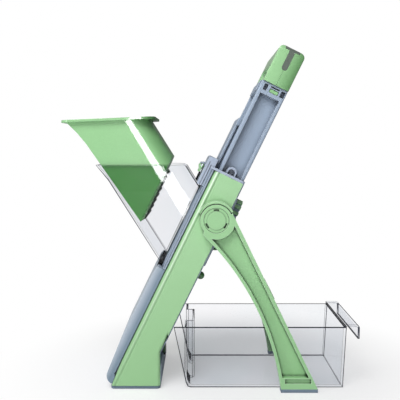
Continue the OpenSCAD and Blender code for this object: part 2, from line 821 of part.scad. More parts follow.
module main_blade() {
    color(steel) on_slope() intersection() {
        diagonal() along_y(-half_w, half_w) polygon([
            [plate_x0 + plate_t, 0], [plate_x0 + plate_t + blade_t, 3],
            [plate_x0 + plate_t + blade_t, blade_h], [plate_x0 + plate_t, blade_h]
        ]);
        translate([plate_x0 - 1, -cheek_y0 + 0.2, blade_z - 30])
            cube([10, 2 * cheek_y0 - 0.4, 80]);
    }
}

module blade_screws() {
    color(steel) on_slope() diagonal() for (y = [-1, 0, 1] * (throat_w / 2 - 10.5))
        translate([0, y, blade_h - 4])
            rod_x(plate_x0 + plate_t + blade_t, plate_x0 + plate_t + blade_t + 1.6, 2.6);
}

// Handle loop between x0 and x1: its side outline is cut by the loop's own outline
module handle_solid(x0, x1) {
    intersection() {
        along_x(x0, x1) difference() {
            union() {
                translate([-handle_y, rail_top]) square([2 * handle_y, handle_h - handle_r]);
                soft_rect(-handle_y, rail_top + 4, handle_y, handle_top, handle_r);
            }
            soft_rect(-handle_y + arm_t, rail_top - 12, handle_y - arm_t, handle_top - grip_t, 6);
        }
        along_y(-handle_y - 1, handle_y + 1) union() {
            soft_rect(handle_x0, rail_top + 3, handle_x1, handle_top, handle_r);
            translate([handle_x0, rail_top - 1]) square([handle_d, handle_h - handle_r]);
        }
    }
}

// Soft T-shaped strip over the grip and down both ends, before it is cut to the handle
module inlay_groove() {
    translate([handle_mid - inlay_w / 2, -handle_y - 1, handle_top - inlay_t])
        cube([inlay_w, 2 * handle_y + 2, inlay_t + 1]);
    for (s = [0, 1]) mirror([0, s, 0]) along_y(handle_y - stem_t, handle_y + 1) {
        translate([handle_mid - stem_w / 2, handle_top - stem_len])
            square([stem_w, stem_len]);
        translate([handle_mid, handle_top - stem_len]) circle(stem_w / 2);
    }
}

module handle_half(x0, x1) {
    color(green) on_slope() difference() {
        handle_solid(x0, x1);
        inlay_groove();
        translate([handle_mid, 0, handle_top - grip_t / 2 - inlay_t / 2])
            rod_y(-handle_y + arm_t, handle_y - arm_t, 5.5);
    }
}

module handle_front_shell() { handle_half(handle_x0, handle_mid); }
module handle_rear_shell() { handle_half(handle_mid, handle_x1); }
module handle_inlay() {
    color([0.36, 0.40, 0.38]) on_slope() intersection() {
        handle_solid(handle_x0, handle_x1);
        inlay_groove();
    }
}

// Catches of the handle that show in the windows at the top of the rails
module handle_catches() {
    color(green) on_slope() for (s = [0, 1]) mirror([0, s, 0])
        translate([rail_x0 + 12, rail_y1 - 4, rail_top - 8.6]) cube([9.4, 3.2, 3.4]);
}

// Extension spring: a wound body with a hook at each end
module return_spring() {
    color(steel) on_slope() translate([spring_x, spring_y, 0]) {
        translate([0, 0, spring_low]) rotate_extrude() union() {
            translate([spring_ring - 0.5, 0]) square([0.5, spring_high - spring_low]);
            for (i = [0:spring_coils]) translate([spring_ring, i * spring_pitch])
                circle(d = spring_wire);
        }
        for (z = [hook_low, hook_high])
            translate([0, 0, z]) rotate([90, 0, 0]) rotate_extrude()
                translate([spring_ring, 0]) circle(d = hook_wire);
    }
}

module left_return_spring() { return_spring(); }
module right_return_spring() { right_hand() return_spring(); }

module spring_pins() {
    color(steel) on_slope() for (s = [0, 1]) mirror([0, s, 0])
        translate([spring_x, 0, peg_low]) rod_y(rail_y0 + rail_web, spring_y + 3, peg_r);
}

// ---------- ramp, dials and strip blades ----------
module ramp_plate() {
    color(green) on_slope() difference() {
        union() {
            difference() {
                translate([ramp_x0, -ramp_y, ramp_low])
                    cube([ramp_t, 2 * ramp_y, ramp_top - ramp_low + 6]);
                diagonal() translate([ramp_x0 - 1, -half_w, -4]) cube([20, body_w, blade_h]);
            }
            translate([0, 0, dial_z]) rod_x(ramp_x0 + 0.5, ramp_boss_x1, boss_r);
        }
        translate([0, 0, dial_z]) rod_x(ramp_x0 + ramp_t + 0.5, ramp_boss_x1 + 1, shaft_r + run_gap);
        for (i = [0:strip_count - 1])
            translate([ramp_x0 - 1, strip_at(i) - 0.7, strip_z - 0.4])
                cube([ramp_t + 2, 1.4, strip_h + 0.8]);
    }
}
function strip_at(i) = (i - (strip_count - 1) / 2) * strip_pitch;

module dial_shaft() {
    color(steel) on_slope() translate([0, 0, dial_z])
        rod_x(ramp_x0 + ramp_t + slice_t + 1.5, dial_x0 + 5, shaft_r);
}

module grip_teeth(r0, r1) {
    for (i = [0:grip_count - 1]) rotate(i * 360 / grip_count) translate([r0, -1.9])
        square([r1 - r0, 3.8]);
}

module thickness_dial() {
    color(slate) on_slope() translate([dial_x0, 0, dial_z]) rotate([0, 90, 0]) difference() {
        union() {
            cylinder(h = 3, r = dial_r - 1.2);
            cylinder(h = dial_t, r = dial_r - 2);
        }
        translate([0, 0, 2]) linear_extrude(dial_t) grip_teeth(dial_r - 5, dial_r + 1);
        translate([0, 0, -1]) cylinder(h = 6, r = shaft_r);
        translate([0, 0, dial_t - 2.4]) difference() {
            cylinder(h = 4, r = dial_r - 7);
            translate([-2, -dial_r, -1]) cube([4, 2 * dial_r, 6]);
        }
    }
}

module dial_grips() {
    color(green) on_slope() translate([dial_x0, 0, dial_z]) rotate([0, 90, 0])
        translate([0, 0, 2]) linear_extrude(dial_t - 1.4) intersection() {
            grip_teeth(dial_r - 5, dial_r + 1);
            circle(dial_r);
        }
}

module cut_style_knob() {
    color(dark_green) on_slope() translate([dial_x0, 0, knob_z]) rotate([0, 90, 0]) {
        rotate_extrude() union() {
            intersection() {
                translate([0, 1]) circle(knob_r);
                square([knob_r, knob_r]);
            }
            square([knob_r, 1.2]);
        }
        translate([-1.5, -knob_r + 1.5, 6]) cube([3, 2 * knob_r - 3, 6.4]);
        translate([0, 0, strip_x0 - 0.4 - dial_x0]) cylinder(h = dial_x0 - strip_x0 + 1, r = knob_shaft_r);
    }
}

// Frame behind the ramp that carries the strip blades: its sleeve slides on the knob's shaft
module strip_blade_frame() {
    color(slate) on_slope() difference() {
        union() {
            along_x(strip_x0, strip_x0 + strip_bar_t) union() {
                translate([-strip_y, strip_z]) square([2 * strip_y, strip_h + 2]);
                translate([-knob_r, knob_z - 6]) square([2 * knob_r, strip_z - knob_z + 7]);
            }
            translate([0, 0, knob_z]) rod_x(strip_x0, strip_x0 + 11.5, knob_shaft_r + 2);
        }
        translate([0, 0, knob_z]) rod_x(strip_x0 - 1, strip_x0 + 12, knob_shaft_r + run_gap);
    }
}

module strip_blades() {
    color(steel) on_slope() for (i = [0:strip_count - 1])
        translate([0, strip_at(i), strip_z]) along_y(-0.3, 0.3) polygon([
            [strip_x0, 0], [strip_x0, strip_h], [ramp_x0 + 0.6, strip_h - 1],
            [ramp_x0 + 0.6, 0.6]
        ]);
}

module lock_knob() {
    color(dark_green) on_slope() translate([strip_x1 + 0.2, -(skin_y - 5), lock_z])
        rotate([0, 90, 0]) {
            rotate_extrude() union() {
                square([4.3, 2.4]);
                intersection() {
                    translate([0, 1.6]) circle(4.3);
                    square([4.3, 8]);
                }
            }
            translate([0, 0, -strip_t]) cylinder(h = strip_t + 0.4, r = 1.5);
        }
}

// ---------- chute and pusher ----------
// Side outline of the chute, drawn g inside its walls and open at the rim and the throat
module chute_side(g) {
    up = g > 0 ? 40 : 0;
    back = g > 0 ? chute_back + 5 : chute_back;
    p0 = chute_p0 + g;
    p1 = chute_p1 - g;
    c = at_z(p1, rim_z - 7.5) + [-9, -1.5];
    polygon(concat(
        [meet(p0, back), at_z(p0, rim_z - flare_drop), at_z(p0 - flare, rim_z)],
        g > 0 ? [at_z(p0 - flare, rim_z) + [0, up], at_z(p1, rim_z) + [0, up]] : [],
        g > 0 ? [at_z(p1, rim_z - 7.5)] : arc(c, 9, 90, 10, 10),
        [meet(p1, back)]
    ));
}

module chute_plan(g) {
    in_chute() translate([0, 0, -100]) linear_extrude(600) union() {
        x1 = chute_p1 - g;
        y = chute_w / 2 - g;
        r = corner_r - g;
        translate([0, -y]) square([x1 - r, 2 * y]);
        translate([0, -y + r]) square([x1, 2 * y - 2 * r]);
        for (s = [-1, 1]) translate([x1 - r, s * (y - r)]) circle(r);
    }
}

module chute() {
    color(clear) {
        difference() {
            union() {
                intersection() {
                    along_y(-chute_w / 2, chute_w / 2) chute_side(0);
                    chute_plan(0);
                }
                on_slope() {
                    for (s = [-1, 1]) translate([0, s * (bar_y - 6), 0]) along_y(-4, 4) polygon([
                        [bar_x - 1.6, bar_z], [bar_x + 1.6, bar_z],
                        [bar_x + 2.1, bar_z + 6.5], [bar_x - 1.4, bar_z + 7.6]
                    ]);
                    translate([block_x0 - 2.4, -9, block_low + 1]) cube([2, 18, 9.5]);
                    along_y(-9, 9) polygon([
                        [block_x0 - 2.4, block_low + 1], [block_x0 - 0.4, block_low + 1],
                        [block_x0 - 0.4, block_low - 6], [block_x0 - 2.4, block_low - 4]
                    ]);
                }
            }
            intersection() {
                along_y(-chute_w / 2 + chute_wall, chute_w / 2 - chute_wall)
                    chute_side(chute_wall);
                chute_plan(chute_wall);
            }
        }
        on_slope() translate([bar_x, 0, bar_z]) rod_y(-bar_y, bar_y, bar_r);
    }
}

pusher_p0 = chute_p0 + chute_wall + pusher_gap;

// Side outline of the pusher cup, drawn g inside its walls and open at the top
module pusher_side(g) {
    low = meet(pusher_p0 + 2.6, pusher_back - (g > 0 ? g : 0));
    up = [-sin(slide_lean), cos(slide_lean)];
    side = [cos(slide_lean), sin(slide_lean)];
    start = low + side * g - up * 6;
    reach = (flange_z - start[1]) / up[1];
    left = start + up * reach - [5.6, 0];
    right = at_z(pusher_p1 - g, flange_z + flange_lift + 2);
    open = [0, g > 0 ? 20 : 0];
    intersection() {
        polygon([
            start, start + up * (reach - 29), start + up * (reach - 15) - [1.6, 0], left,
            left + open, right + open, right, at_z(pusher_p1 - g, start[1])
        ]);
        polygon([
            slope_xz(pusher_back - g, 0), slope_xz(pusher_back - g, 500),
            slope_xz(-400, 500), slope_xz(-400, 0)
        ]);
    }
}

module pusher_plan(g) {
    in_chute() translate([0, 0, -100]) linear_extrude(600) union() {
        x1 = pusher_p1 - g;
        y = pusher_y - g;
        r = corner_r - chute_wall - 3 - g;
        translate([-60, -y]) square([x1 - r + 60, 2 * y]);
        translate([-60, -y + r]) square([x1 + 60, 2 * y - 2 * r]);
        for (s = [-1, 1]) translate([x1 - r, s * (y - r)]) circle(r);
    }
}

module pusher_shell() {
    color(green) {
        difference() {
            intersection() {
                along_y(-pusher_y, pusher_y) pusher_side(0);
                pusher_plan(0);
            }
            intersection() {
                along_y(-pusher_y + pusher_wall, pusher_y - pusher_wall) pusher_side(pusher_wall);
                pusher_plan(pusher_wall);
            }
        }
        translate([flange_x0, 0, flange_z + flange_lift]) rotate([0, -flange_turn, 0])
            translate([0, 0, -flange_t]) linear_extrude(flange_t) difference() {
                soft_rect(0, -pusher_y - 5, flange_len, pusher_y + 5, 12);
                soft_rect(13, -pusher_y + pusher_wall, flange_len - 8, pusher_y - pusher_wall, 9);
            }
    }
}

// Rows of pyramids that hold the food against the ramp
module pusher_teeth() {
    a = meet(pusher_p0 + 2.6, pusher_back);
    z0 = a[0] * sin(lean) + a[1] * cos(lean) + 0.6;
    pitch = 61 / tooth_rows;
    color([0.16, 0.2, 0.18]) on_slope() difference() {
        along_y(-pusher_y + 3, pusher_y - 3) polygon(concat(
            [[pusher_back, z0]],
            [for (i = [0:tooth_rows - 1], k = [0, 1])
                [pusher_back + (k == 0 ? 0.9 : tooth_h), z0 + (i + 0.15 + 0.6 * k) * pitch]],
            [[pusher_back + 0.9, z0 + tooth_rows * pitch], [pusher_back, z0 + tooth_rows * pitch]]
        ));
        for (y = [-3:3]) translate([pusher_back + 0.9, y * 10.6 - 1.3, z0 - 1])
            cube([tooth_h, 2.6, 90]);
    }
}

// ---------- tray ----------
module tray_outline(g) {
    up = g > 0 ? 20 : 0;
    x0 = tray_x0 - tray_lean * (tray_h + up);
    polygon([
        [x0 + g, tray_h + up], [tray_x0 - tray_lean * (5 + g) + g, 5 + g], [tray_x0 + 1 + g, 1 + g],
        [tray_x0 + 4 + g, g], [tray_x1 - g, g], [tray_x1 + 3 - g, tray_h + up]
    ]);
}

module tray() {
    x0 = tray_x0 - tray_lean * tray_h;
    lip_x = tray_x1 + 3;
    color(clear) {
        difference() {
            along_y(-tray_y, tray_y) tray_outline(0);
            difference() {
                along_y(-tray_y + tray_wall, tray_y - tray_wall) tray_outline(tray_wall);
                translate([0, -tray_y, -1]) cube([x0 + notch_1 + tray_wall, tray_w, 200]);
                translate([0, -tray_y * 0.44 - tray_wall, -1])
                    cube([x0 + notch_2 + tray_wall, tray_y * 0.88 + 2 * tray_wall, 200]);
            }
            translate([0, -tray_y + tray_wall, -1])
                cube([x0 + notch_1, tray_w - 2 * tray_wall, 200]);
            translate([0, -tray_y * 0.44, -1]) cube([x0 + notch_2, tray_y * 0.88, 200]);
        }
        along_y(-tray_y, tray_y) difference() {
            union() {
                translate([lip_x - tray_wall, tray_h - 2]) square([12.5, 4.9]);
                translate([lip_x + 8, tray_h - 13]) square([6.4, 12]);
                translate([lip_x + 10.3, tray_h - 1.2]) circle(4.1);
            }
            translate([lip_x, tray_h - 20]) square([10.3, 20.7]);
            translate([lip_x + 10.3, tray_h - 20]) square([1.9, 18.8]);
            translate([lip_x + 10.3, tray_h - 1.2]) circle(1.9);
        }
    }
}

right_side_panel();
left_side_panel();
main_frame();
rear_frame();
top_collar();
front_cover();
base_block();
base_foot_pad();
tray_stop();
tray_stop_pad();
right_leg_axle();
left_leg_axle();
right_pivot_cap();
left_pivot_cap();
right_leg();
left_leg();
leg_cross_bar();
right_leg_pad();
left_leg_pad();
right_rail();
left_rail();
carriage_bridge();
blade_carrier();
slicing_plate();
main_blade();
blade_screws();
handle_front_shell();
handle_rear_shell();
handle_inlay();
handle_catches();
right_return_spring();
left_return_spring();
spring_pins();
ramp_plate();
thickness_dial();
dial_grips();
dial_shaft();
cut_style_knob();
strip_blade_frame();
strip_blades();
lock_knob();
chute();
chute_latch();
latch_pin();
pusher_shell();
pusher_teeth();
tray();
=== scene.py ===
import bpy, bmesh, json, math
from mathutils import Vector, Matrix
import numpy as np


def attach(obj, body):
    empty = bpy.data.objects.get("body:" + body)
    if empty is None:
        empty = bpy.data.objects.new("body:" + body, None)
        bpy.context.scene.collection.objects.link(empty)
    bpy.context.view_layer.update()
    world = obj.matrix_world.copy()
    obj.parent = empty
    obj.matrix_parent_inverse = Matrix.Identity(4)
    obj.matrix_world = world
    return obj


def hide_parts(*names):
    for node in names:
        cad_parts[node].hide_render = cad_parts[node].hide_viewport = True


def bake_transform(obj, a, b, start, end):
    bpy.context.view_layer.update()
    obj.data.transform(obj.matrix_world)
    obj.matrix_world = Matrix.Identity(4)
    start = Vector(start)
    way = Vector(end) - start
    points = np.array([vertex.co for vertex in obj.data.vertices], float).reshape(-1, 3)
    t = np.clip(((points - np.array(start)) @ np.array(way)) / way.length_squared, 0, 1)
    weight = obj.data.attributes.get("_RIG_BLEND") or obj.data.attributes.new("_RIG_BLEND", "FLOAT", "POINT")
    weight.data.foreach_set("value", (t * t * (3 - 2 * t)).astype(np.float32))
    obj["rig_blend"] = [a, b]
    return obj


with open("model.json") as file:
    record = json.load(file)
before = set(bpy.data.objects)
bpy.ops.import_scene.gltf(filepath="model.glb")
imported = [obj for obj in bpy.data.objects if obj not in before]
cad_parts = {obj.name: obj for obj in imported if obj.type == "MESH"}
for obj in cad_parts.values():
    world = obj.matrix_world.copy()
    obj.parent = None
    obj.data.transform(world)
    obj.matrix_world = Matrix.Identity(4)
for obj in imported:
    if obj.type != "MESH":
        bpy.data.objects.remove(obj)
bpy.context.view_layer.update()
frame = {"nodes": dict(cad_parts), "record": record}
scene = bpy.context.scene
nodes = frame["nodes"]
bodyOfNode = {node: body for body, group in frame["record"]["behaviour"]["bodies"].items() for node in group}
mm = 0.001
lean = math.radians(26)     # of the body, from upright
upSlope = Vector((math.sin(lean), 0, math.cos(lean)))
behind = Vector((math.cos(lean), 0, -math.sin(lean)))     # square to the slope, away from the chute
print("frame loaded:", len(nodes), "solids")


cameraSettings = {
    "place": (0.071, -0.7115, 0.2655),
    "tiltDown": 4.94,       # degrees below the horizon
    "lens": 55.2,
    "sensor": 36.0,
    "nearest": 0.01, "farthest": 20,
}

cameraData = bpy.data.cameras.new("camera")
cameraData.lens = cameraSettings["lens"]
cameraData.sensor_width = cameraSettings["sensor"]
cameraData.clip_start = cameraSettings["nearest"]
cameraData.clip_end = cameraSettings["farthest"]
camera = bpy.data.objects.new("camera", cameraData)
camera.location = cameraSettings["place"]
camera.rotation_euler = (math.radians(90 - cameraSettings["tiltDown"]), 0, 0)
scene.collection.objects.link(camera)
scene.camera = camera
print("camera set")


def newMaterial(name):
    material = bpy.data.materials.new(name)
    material.use_nodes = True
    tree = material.node_tree
    tree.nodes.clear()
    output = tree.nodes.new("ShaderNodeOutputMaterial")
    return material, tree, output


# adds a shader node; an input is a plain value, or the socket that it is linked to
def addNode(tree, kind, inputs=None, **settings):
    made = tree.nodes.new(kind)
    for key, value in settings.items():
        setattr(made, key, value)
    for key, value in (inputs or {}).items():
        if isinstance(value, bpy.types.NodeSocket):
            tree.links.new(value, made.inputs[key])
        else:
            made.inputs[key].default_value = value
    return made


# a colour written as 0-255 screen values, as the shaders want it
def tone(r, g, b):
    linear = [c / 255 / 12.92 if c <= 10 else ((c / 255 + 0.055) / 1.055) ** 2.4 for c in (r, g, b)]
    return (*linear, 1.0)


def calc(tree, operation, first, second=0.0, clamped=False):
    return addNode(tree, "ShaderNodeMath", {0: first, 1: second}, operation=operation,
                   use_clamp=clamped).outputs["Value"]


# carries a value from one range over to another
def rescale(tree, value, fromLow, fromHigh, toLow=0.0, toHigh=1.0, soft=False):
    return addNode(tree, "ShaderNodeMapRange", {
        "Value": value, "From Min": fromLow, "From Max": fromHigh, "To Min": toLow, "To Max": toHigh},
        interpolation_type="SMOOTHSTEP" if soft else "LINEAR").outputs["Result"]


def blendTones(tree, share, first, second):
    return addNode(tree, "ShaderNodeMix", {"Factor": share, "A": first, "B": second},
                   data_type="RGBA").outputs["Result"]


# a soft random pattern, which lies mostly between 0.3 and 0.7
def clouds(tree, place, scale, detail, roughness=0.5):
    return addNode(tree, "ShaderNodeTexNoise", {"Vector": place, "Scale": scale, "Detail": detail,
                                                "Roughness": roughness}).outputs["Fac"]


# shades the surface as if a pattern stood up from it by the depth, in metres
def embossed(tree, pattern, depth, normal=None, sunk=False):
    inputs = {"Height": pattern, "Strength": 1.0, "Distance": depth}
    if normal:
        inputs["Normal"] = normal
    return addNode(tree, "ShaderNodeBump", inputs, invert=sunk).outputs["Normal"]


def objectPlace(tree):
    return addNode(tree, "ShaderNodeTexCoord").outputs["Object"]


# how far a point lies along a direction
def distanceAlong(tree, place, direction):
    return addNode(tree, "ShaderNodeVectorMath", {0: place, 1: direction},
                   operation="DOT_PRODUCT").outputs["Value"]


# distance behind the body's slope axis, in mm
def slopeDepth(tree, place):
    return calc(tree, "MULTIPLY", distanceAlong(tree, place, tuple(behind)), 1 / mm)


# 1 at the middle of a band across the body, falling softly to 0 on both sides
def softBand(tree, depth, middle, half):
    away = calc(tree, "ABSOLUTE", calc(tree, "SUBTRACT", depth, middle))
    return rescale(tree, away, 0.0, half, 1.0, 0.0, soft=True)


# fine moulded grain, on top of a slow waviness
def grainedNormal(tree, place, look):
    fine = clouds(tree, place, 1 / look["grain"], 2.0, 0.6)
    normal = embossed(tree, fine, look["grainDepth"])
    if look["wave"]:
        normal = embossed(tree, clouds(tree, place, look["waveScale"], 1.0), look["wave"], normal)
    return normal


# a tone that drifts slightly over the part, with fine specks
def driftingTone(tree, place, look):
    drift = rescale(tree, clouds(tree, place, look["driftScale"], 3.0), 0.35, 0.65)
    body = blendTones(tree, drift, tone(*look["tone"]), tone(*look["shade"]))
    specks = rescale(tree, clouds(tree, place, look["speckScale"], 1.0), 0.3, 0.7, *look["speckLevels"])
    return addNode(tree, "ShaderNodeVectorMath", {0: body, "Scale": specks},
                   operation="SCALE").outputs["Vector"]


# pale line with a dim dip beside it, both along the slope: a painted highlight on the crest and painted shade
# in the dip, over a bump
def ridgeHighlightAndShade(tree, place, colour, normal, look):
    ridge = look["ridge"]
    depth = slopeDepth(tree, place)
    crest = softBand(tree, depth, ridge["crest"], ridge["crestHalf"])
    valley = softBand(tree, depth, ridge["valley"], ridge["valleyHalf"])
    normal = embossed(tree, calc(tree, "SUBTRACT", crest, valley), ridge["height"], normal)
    colour = blendTones(tree, calc(tree, "MULTIPLY", crest, ridge["crestHighlight"]), colour, tone(*look["edge"]))
    colour = blendTones(tree, calc(tree, "MULTIPLY", valley, ridge["valleyShade"]), colour, tone(*look["paintedShade"]))
    return colour, normal


# painted light and shade: a second tone that takes over slowly along one direction, as light would fall off
def paintedShadingFade(tree, place, colour, paintedShading):
    along = distanceAlong(tree, place, paintedShading["along"])
    share = rescale(tree, along, paintedShading["full"] * mm, paintedShading["none"] * mm, 1.0, 0.0)
    return blendTones(tree, share, colour, tone(*paintedShading["tone"]))


# flat face that seems to curve away near both of its long sides
def crownedNormal(tree, place, normal, crown):
    away = calc(tree, "SUBTRACT", slopeDepth(tree, place), crown["middle"])
    share = calc(tree, "DIVIDE", away, crown["half"])
    square = calc(tree, "MULTIPLY", share, share)
    return embossed(tree, calc(tree, "MULTIPLY", square, square), crown["height"], normal, sunk=True)


# painted shade: corners and narrow gaps get the dark shade tone, by how little open air surrounds them
def paintedCornerShade(tree, colour, look):
    air = addNode(tree, "ShaderNodeAmbientOcclusion", {"Distance": look["reach"]}, samples=8).outputs["AO"]
    share = rescale(tree, air, look["closedAt"], look["openAt"], soft=True)
    return blendTones(tree, share, tone(*look["paintedShade"]), colour)


# what a moulded plastic has unless its own dictionary says otherwise
plasticSettings = {
    "driftScale": 9.0, "waveScale": 28.0, "scuffScale": 160.0, "speckScale": 900.0,     # per metre
    "speckLevels": (0.97, 1.02),
    "wave": 0.0,                            # height of the slow waviness, in metres
    "smoother": 0.05, "rougher": 0.06,      # how far the roughness strays
    "edgeHighlight": 0.5,                            # share of the pale edge tone painted on rounded edges as a highlight
    "reach": 0.006,                         # how far the painted shade in corners spreads
    "closedAt": 0.0, "openAt": 0.9,         # share of open air where the painted corner shade is darkest, and where there is none
    "specular": 0.45,
    "coat": 0.0, "coatRough": 0.18,
    "coatFront": False,                     # coat only on faces seen square on
    "coatSquare": 0.3, "coatGlancing": 0.6,
}


# moulded plastic: drifting tone, pale edges as painted highlight, dark corners as painted shade, and fine
# grain
def mouldedPlastic(name, own):
    look = {**plasticSettings, **own}
    material, tree, output = newMaterial(name)
    place = objectPlace(tree)
    colour = driftingTone(tree, place, look)
    # painted highlight: the rounded edges take the pale edge tone, broken up by the scuff pattern
    edge = addNode(tree, "ShaderNodeAttribute", attribute_name="edgeHighlightMask").outputs["Fac"]
    scuff = clouds(tree, place, look["scuffScale"], 4.0)
    edgeHighlightShare = calc(tree, "MULTIPLY", calc(tree, "MULTIPLY", edge, scuff), look["edgeHighlight"])
    colour = blendTones(tree, edgeHighlightShare, colour, tone(*look["edge"]))
    rough = rescale(tree, scuff, 0.3, 0.7, look["rough"] - look["smoother"], look["rough"] + look["rougher"])
    normal = grainedNormal(tree, place, look)
    if "ridge" in look:
        colour, normal = ridgeHighlightAndShade(tree, place, colour, normal, look)
    if "paintedShading" in look:
        colour = paintedShadingFade(tree, place, colour, look["paintedShading"])
    if "crown" in look:
        normal = crownedNormal(tree, place, normal, look["crown"])
    colour = paintedCornerShade(tree, colour, look)
    coat = look["coat"]
    if look["coatFront"]:
        facing = addNode(tree, "ShaderNodeLayerWeight", {"Blend": 0.5}).outputs["Facing"]
        coat = rescale(tree, facing, look["coatSquare"], look["coatGlancing"], look["coat"], 0.0)
    shader = addNode(tree, "ShaderNodeBsdfPrincipled", {
        "Base Color": colour, "Roughness": rough, "Specular IOR Level": look["specular"],
        "Coat Weight": coat, "Coat Roughness": look["coatRough"], "Normal": normal})
    tree.links.new(shader.outputs["BSDF"], output.inputs["Surface"])
    return material


# steel with the fine lines of brushing or drawing
def brushedSteel(name, look):
    material, tree, output = newMaterial(name)
    turned = addNode(tree, "ShaderNodeMapping", {"Vector": objectPlace(tree), "Rotation": look["turn"],
                                                 "Scale": look["stretch"]}).outputs["Vector"]
    lines = clouds(tree, turned, 1.0, 3.0)
    colour = blendTones(tree, lines, tone(*look["tone"]), tone(*look["shade"]))
    rough = rescale(tree, lines, 0.3, 0.7, look["rough"] - look["smoother"], look["rough"] + look["rougher"])
    shader = addNode(tree, "ShaderNodeBsdfPrincipled", {
        "Base Color": colour, "Metallic": 1.0, "Roughness": rough,
        "Normal": embossed(tree, lines, look["lineDepth"])})
    tree.links.new(shader.outputs["BSDF"], output.inputs["Surface"])
    return material


# clear moulded plastic: see-through face on, smoky at a glancing angle, with a faint gloss
def clearPlastic(name, look):
    material, tree, output = newMaterial(name)
    place = objectPlace(tree)
    hazy = rescale(tree, clouds(tree, place, look["hazeScale"], 3.0), 0.35, 0.65)
    clear = blendTones(tree, hazy, tone(*look["tone"]), tone(*look["haze"]))
    facing = addNode(tree, "ShaderNodeLayerWeight", {"Blend": look["smoke"]}).outputs["Facing"]
    tint = blendTones(tree, facing, clear, tone(*look["glancing"]))
    through = addNode(tree, "ShaderNodeBsdfTransparent", {"Color": tint})
    normal = embossed(tree, clouds(tree, place, look["waveScale"], 1.0), look["waveDepth"])
    gloss = addNode(tree, "ShaderNodeBsdfAnisotropic", {"Color": (1, 1, 1, 1), "Roughness": look["rough"],
                                                        "Normal": normal})
    fresnel = addNode(tree, "ShaderNodeFresnel", {"IOR": look["ior"]}).outputs["Fac"]
    share = calc(tree, "MINIMUM", calc(tree, "MULTIPLY", fresnel, look["shine"]), look["most"])
    mixed = addNode(tree, "ShaderNodeMixShader", {0: share, 1: through.outputs["BSDF"],
                                                  2: gloss.outputs["BSDF"]})
    tree.links.new(mixed.outputs["Shader"], output.inputs["Surface"])
    return material


# what every piece has unless its own dictionary says otherwise
usualFinish = {
    "weld": 0.02,               # mm, within which corners become one
    "flatAngle": 1.0,           # degrees, up to which faces become one
    "softest": 32,              # degrees, up to which an edge isn't rounded
    "edge": 0.3,                # mm, width of the rounded edges
    "segments": 2,
    "tries": (1.0, 0.7, 0.45, 0.25, 0.12, 0.0),     # shares of that width, the first that fits is kept
    "skin": (0.98, 1.002),      # it fits when this share of the plain skin is left
    "smooth": 40,               # degrees, up to which an edge shades smooth
    "wideFace": 1500,           # mm2, from which a face shades flat
    "evenness": 90,             # how far wide faces steer the shading of narrow ones
}
rimSettings = {
    "corner": 45,               # degrees, from which a wall meets its rim
    "longEdge": 0.5,            # share of the longest edge that counts as a long one
    "endOn": 0.8, "sideOn": 0.95,       # how squarely a face looks back or sideways
    "largeWall": 1000,          # mm2
}


# merged copy of a solid, its flat faces whole again
def mergedCopy(node, finish):
    work = bmesh.new()
    work.from_mesh(nodes[node].data)
    bmesh.ops.remove_doubles(work, verts=work.verts, dist=finish["weld"] * mm)
    bmesh.ops.dissolve_limit(work, angle_limit=math.radians(finish["flatAngle"]), verts=work.verts,
                             edges=work.edges)
    work.faces.layers.float.new("edgeHighlightMask")
    return work


# rounds every sharp edge and marks the new faces, where the plastics paint their edge highlight
def roundEdges(work, width, finish):
    edgeHighlight = work.faces.layers.float["edgeHighlightMask"]
    softest = math.radians(finish["softest"])
    sharp = [e for e in work.edges if e.is_manifold and e.calc_face_angle(0) > softest]
    made = bmesh.ops.bevel(work, geom=sharp, offset=width, offset_type="OFFSET", segments=finish["segments"],
                           profile=0.5, affect="EDGES", clamp_overlap=False, material=-1)
    for face in made["faces"]:
        face[edgeHighlight] = 1.0


# about how wide a long face is
def faceWidth(face):
    return 2 * face.calc_area() / max(face.calc_perimeter(), 1e-6)


# whether faces meet at a corner along this edge
def isCorner(edge):
    return edge.calc_face_angle(0) > math.radians(rimSettings["corner"])


# gives the second material to thin faces between two corners, such as the rims of walls
def darkenRims(work, width):
    for face in work.faces:
        longest = max(e.calc_length() for e in face.edges)
        longEdges = [e for e in face.edges if e.calc_length() > rimSettings["longEdge"] * longest]
        rim = faceWidth(face) < width and all(isCorner(e) for e in longEdges)
        endRim = faceWidth(face) < 2 * width and face.normal.x > rimSettings["endOn"]
        face.material_index = 1 if rim or endRim else 0


# band inside the outline of the large side walls, where one looks into the thickness of the next wall
def darkenOutline(work, width):
    top = max(v.co.z for v in work.verts)
    sides = [f for f in work.faces if abs(f.normal.y) > rimSettings["sideOn"]
             and f.calc_area() > rimSettings["largeWall"] * mm ** 2
             and f.normal.y * f.calc_center_median().y > 0]
    band = bmesh.ops.inset_individual(work, faces=sides, thickness=width, use_even_offset=False)["faces"]
    for face in band:
        if top - face.calc_center_median().z > 2 * width and any(isCorner(e) for e in face.edges):
            face.material_index = 1


# skin area once every face is cut into triangles
def skinArea(work):
    cut = work.copy()
    bmesh.ops.triangulate(cut, faces=cut.faces)
    area = sum(f.calc_area() for f in cut.faces)
    cut.free()
    return area


# merged copy with its edges rounded, by less where the full width would fold thin faces over
def roundedCopy(node, finish):
    leastSkin, mostSkin = finish["skin"]
    for share in finish["tries"]:
        work = mergedCopy(node, finish)
        plainSkin = skinArea(work)
        if "thinFace" in finish:
            darkenRims(work, finish["thinFace"] * mm)
            darkenOutline(work, finish["outline"] * mm)
        if finish["edge"] * share:
            roundEdges(work, finish["edge"] * share * mm, finish)
        if share == 0 or leastSkin < skinArea(work) / plainSkin < mostSkin:
            break
        work.free()
    if share < 1:
        print("edge of", node, "rounded by", round(finish["edge"] * share, 3))
    if "thinFace" in finish:
        edgeHighlight = work.faces.layers.float["edgeHighlightMask"]
        for face in work.faces:
            if face[edgeHighlight] > 0.5:
                face.material_index = 1
    return work


